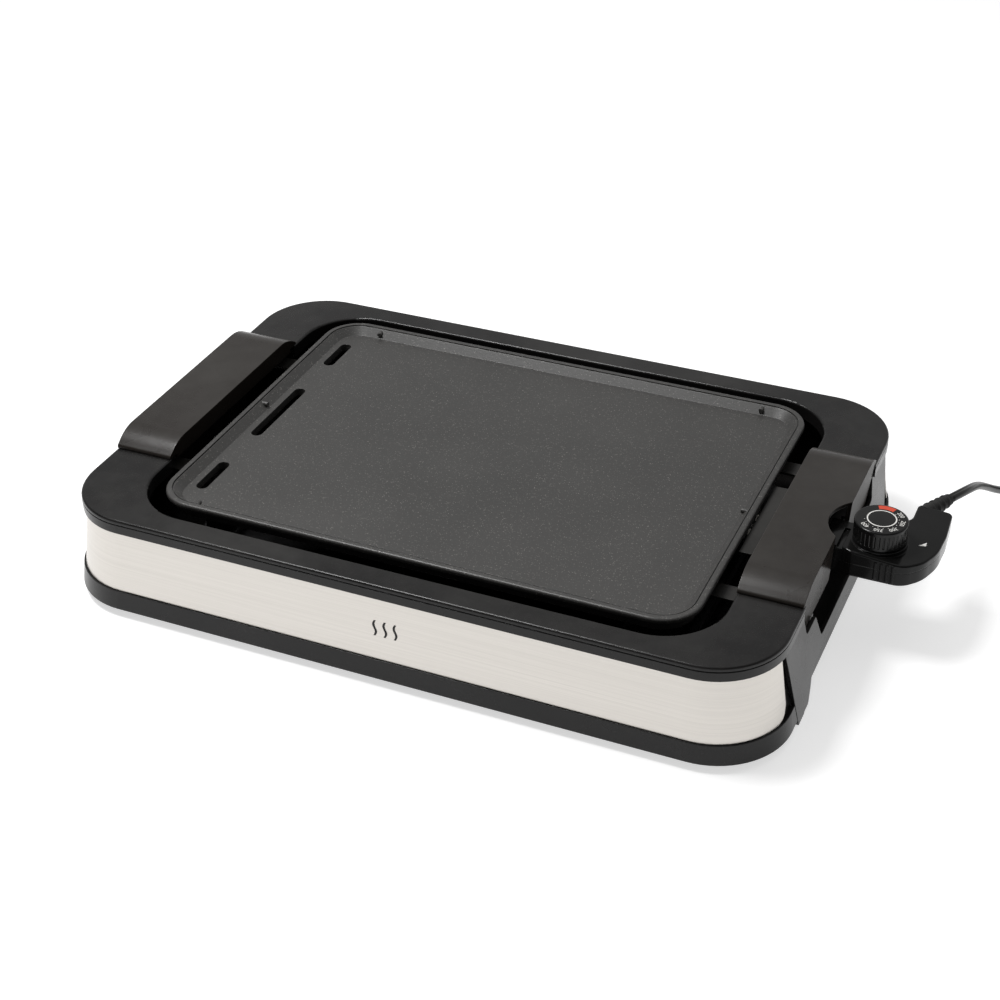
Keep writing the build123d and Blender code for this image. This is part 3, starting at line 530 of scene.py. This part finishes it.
def flat_ring(name, inner, outer, start, end, height, centre, thickness=0.00012):
    """Thin raised sector: a grid over angle and a closed rectangle of radius and height."""
    steps = max(int(abs(end - start) / 3), 8)
    angle = np.radians(np.linspace(start, end, steps + 1))
    whole = abs(end - start) >= 360
    if whole:
        angle = angle[:-1]
    section = np.array([(inner, 0), (outer, 0), (outer, thickness), (inner, thickness)])
    ring = np.stack([np.cos(angle), np.sin(angle)], 1)
    xy = ring[:, None] * section[None, :, :1] + np.array(centre)
    z = np.broadcast_to(section[None, :, 1:] + height, (len(angle), 4, 1))
    points = np.concatenate([xy, z], 2).reshape(-1, 3)
    faces = [list(f)[::-1] for f in grid_faces(len(angle), 4, close_rows=whole, close_columns=True)]
    if not whole:
        last = (len(angle) - 1) * 4
        faces += [[0, 1, 2, 3], [last + 3, last + 2, last + 1, last]]
    return mesh_object(name, points, faces, sharp_angle=30)


def scale_number(text, angle, radius, size):
    """Number on the dial's face, its foot towards the middle, as a thin raised mesh."""
    curve = bpy.data.curves.new("number", "FONT")
    curve.body, curve.size = text, size
    curve.align_x, curve.align_y = "CENTER", "CENTER"
    curve.extrude, curve.resolution_u = 0.00006, 3
    holder = bpy.data.objects.new("number", curve)
    bpy.context.scene.collection.objects.link(holder)
    bpy.context.view_layer.update()
    mesh = bpy.data.meshes.new_from_object(holder)
    bpy.data.objects.remove(holder)
    turn = math.radians(angle)
    place = Vector((DIAL_CENTRE[0] + radius * math.cos(turn), DIAL_CENTRE[1] + radius * math.sin(turn),
                    DIAL_TOP + 0.00007))
    mesh.transform(Matrix.Translation(place) @ Matrix.Rotation(turn - math.pi / 2, 4, "Z"))
    piece = bpy.data.objects.new("dial_number_" + text, mesh)
    bpy.context.scene.collection.objects.link(piece)
    return piece


def make_dial_scale():
    """White ring round the cap, numbers round the edge, fine ticks and the red hot zone."""
    pieces = [(flat_ring("dial_ring", *RING_RADII, 0, 360, CAP_TOP, DIAL_CENTRE), PRINT_WHITE),
              (flat_ring("dial_hot_zone", *HOT_RADII, *HOT_ANGLES, DIAL_TOP, DIAL_CENTRE), PRINT_RED)]
    for k, text in enumerate(NUMBERS):
        angle = NUMBER_START + NUMBER_STEP * k
        pieces.append((scale_number(text, angle, NUMBER_RADIUS, NUMBER_SIZE), PRINT_WHITE))
    for k in range(TICKS):
        angle = TICK_START + TICK_STEP * k
        tick = flat_ring(f"dial_tick_{k}", *TICK_RADII, angle - TICK_HALF, angle + TICK_HALF, DIAL_TOP,
                         DIAL_CENTRE)
        pieces.append((tick, PRINT_WHITE))
    for piece, material in pieces:
        finish_with(piece, material)
        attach(piece, "dial")


make_dial_scale()


POINTER = [(326.9, 12.3), (332.1, 14.4), (331.7, 19.0)]         # its corners, from the plate's centre
TOP_START, TOP_HEIGHT, TOP_FALL = 0.279, 82.6, 100.0            # the sloping top: metres, mm, mm per metre


def make_pointer():
    """White wedge that the dial is read against: a thin triangular prism on the controller's sloping top,
    whose height at x is TOP_HEIGHT - TOP_FALL * (x - TOP_START)."""
    corners = np.array(POINTER) * MM + [PLATE_X, 0]
    top = (TOP_HEIGHT - (corners[:, 0] - PLATE_X - TOP_START) * TOP_FALL) * MM + 0.00006
    low = np.column_stack([corners, top - 0.0002])
    high = np.column_stack([corners, top])
    faces = [(2, 1, 0), (3, 4, 5), (0, 1, 4, 3), (1, 2, 5, 4), (2, 0, 3, 5)]
    wedge = mesh_object("dial_pointer", np.concatenate([low, high]), faces, smooth=False)
    finish_with(wedge, PRINT_WHITE)
    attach(wedge, "controller")


make_pointer()


# ---------------------------------------------------------------- floor and light
FLOOR_HALF = 6.0
FLOOR_WHITE, FLOOR_GLOW = (0.60, 0.60, 0.60), 0.62    # the table is lit from below as well as from above
SKY_FRONT, SKY_BACK = 0.06, 0.46                      # the surroundings' strength before and behind the part
LIGHTS = [                                            # name, place, side of the square, watts
    ("overhead", (-0.3, 0.0, 2.2), 3.0, 12.0),
    ("key", (-0.75, -0.1, 1.9), 0.6, 34.0),
]
LIGHTS_AIM = (0, 0, 0.05)


def make_floor():
    """Pale floor that glows a little, so that shadows on it stay faint."""
    h = FLOOR_HALF
    corners = [(-h, -h, 0), (h, -h, 0), (h, h, 0), (-h, h, 0)]
    floor = mesh_object("floor", corners, [(0, 1, 2, 3)], smooth=False)
    made, tree, shader = start_material("floor_white", FLOOR_WHITE, 0.6, Emission_Strength=FLOOR_GLOW)
    shader.inputs["Emission Color"].default_value = (1.0, 1.0, 1.0, 1.0)
    finish_with(floor, made)


def make_surroundings():
    """White surroundings, bright behind the part and dim before it."""
    world = bpy.data.worlds.new("surroundings")
    world.use_nodes = True
    bpy.context.scene.world = world
    tree = world.node_tree
    background = tree.nodes["Background"]
    background.inputs["Color"].default_value = (1.0, 1.0, 1.0, 1.0)
    way = node(tree, "SeparateXYZ", links={0: node(tree, "TexCoord").outputs["Generated"]})
    glow = node(tree, "MapRange", links={"Value": way.outputs["Y"]},
                values={"From Min": -0.3, "From Max": 0.7, "To Min": SKY_FRONT, "To Max": SKY_BACK})
    tree.links.new(glow.outputs[0], background.inputs["Strength"])


def make_lights():
    """A wide soft light overhead and a smaller key light that draws the bright lines on rounded edges."""
    for name, place, size, power in LIGHTS:
        data = bpy.data.lights.new(name, "AREA")
        data.shape, data.size, data.energy = "SQUARE", size, power
        lamp = bpy.data.objects.new(name, data)
        lamp.location = place
        lamp.rotation_mode = "QUATERNION"
        lamp.rotation_quaternion = (Vector(LIGHTS_AIM) - Vector(place)).to_track_quat("-Z", "Y")
        bpy.context.scene.collection.objects.link(lamp)


make_floor()
make_surroundings()
make_lights()
bpy.context.scene.view_settings.view_transform = "Standard"
